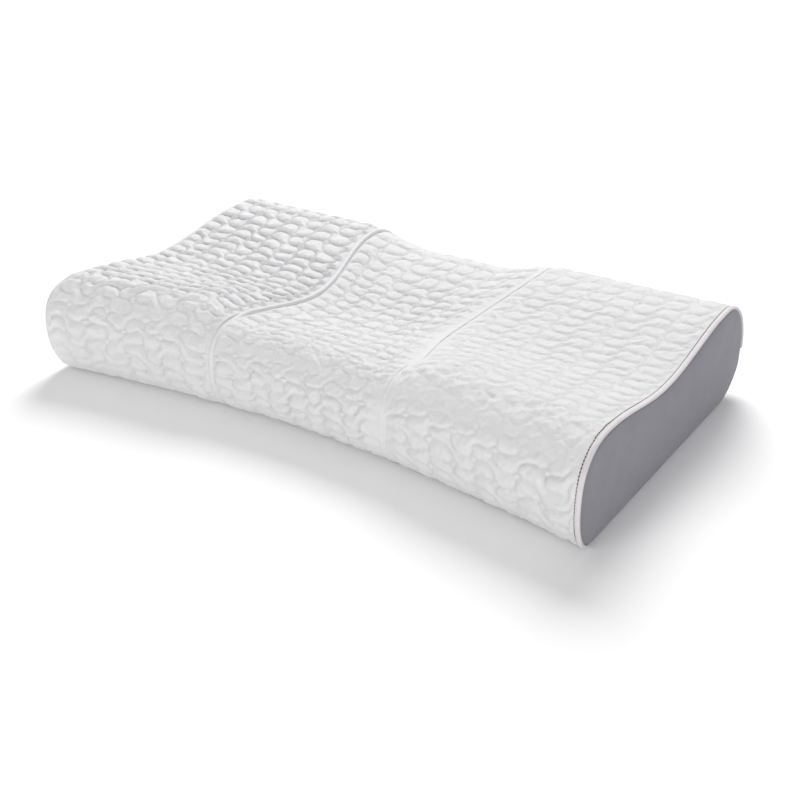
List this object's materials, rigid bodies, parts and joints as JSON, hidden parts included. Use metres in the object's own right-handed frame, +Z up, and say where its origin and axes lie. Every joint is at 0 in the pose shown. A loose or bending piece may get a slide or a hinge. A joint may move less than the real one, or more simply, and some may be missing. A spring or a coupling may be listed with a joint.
{
  "type": "contour neck pillow",
  "caption": "Contoured foam neck pillow with a low front roll, a dished head cradle, a high back roll and a zip-off quilted cover.",
  "frame": {"origin": "centre of the bounding box at the plane the pillow rests on", "axes": "+X along the pillow to its right end, +Y from the front roll to the back roll, +Z up"},
  "size_m": [0.6, 0.3617, 0.105],
  "materials": {
    "quilt": "soft knitted fabric with raised puffs",
    "knit": "plain matt knit",
    "grey_knit": "smooth matt knit",
    "band": "smooth rolled edge",
    "thread": "matt sewing thread",
    "foam": "open-cell memory foam",
    "zip_tape": "woven tape",
    "zip_coil": "nylon coil",
    "zip_metal": "satin die-cast metal",
    "label": "thin satin ribbon, blank"
  },
  "bodies": {
    "pillow": {"foam_core": "foam", "liner_wrap": "knit", "liner_end_left": "knit", "liner_end_right": "knit", "quilted_panel_left": "quilt", "quilted_panel_centre": "quilt", "quilted_panel_right": "quilt", "base_panel": "knit", "end_panel_left": "grey_knit", "end_panel_right": "grey_knit", "edge_binding_left": "band", "edge_binding_right": "band", "topstitch_left": "thread", "topstitch_right": "thread", "seam_welt_left": "knit", "seam_welt_right": "knit", "zip_tape_upper": "zip_tape", "zip_tape_lower": "zip_tape", "zip_coil_upper": "zip_coil", "zip_coil_lower": "zip_coil", "zip_top_stop": "zip_metal", "zip_bottom_stop": "zip_metal", "zip_end_tab_left": "knit", "zip_end_tab_right": "knit", "care_label": "label"},
    "slider": {"zip_slider": "zip_metal"},
    "pull": {"zip_pull_tab": "zip_metal"}
  },
  "joints": [
    {"name": "zip_slide", "type": "slide", "parent": "pillow", "child": "slider", "axis": [1, 0, 0], "range_m": [0, 0.4803]},
    {"name": "pull_swing", "type": "hinge", "parent": "slider", "child": "pull", "pos_m": [-0.23898, 0.17855, 0.037], "axis": [0, 0, 1], "range_deg": [0, 170]}
  ]
}
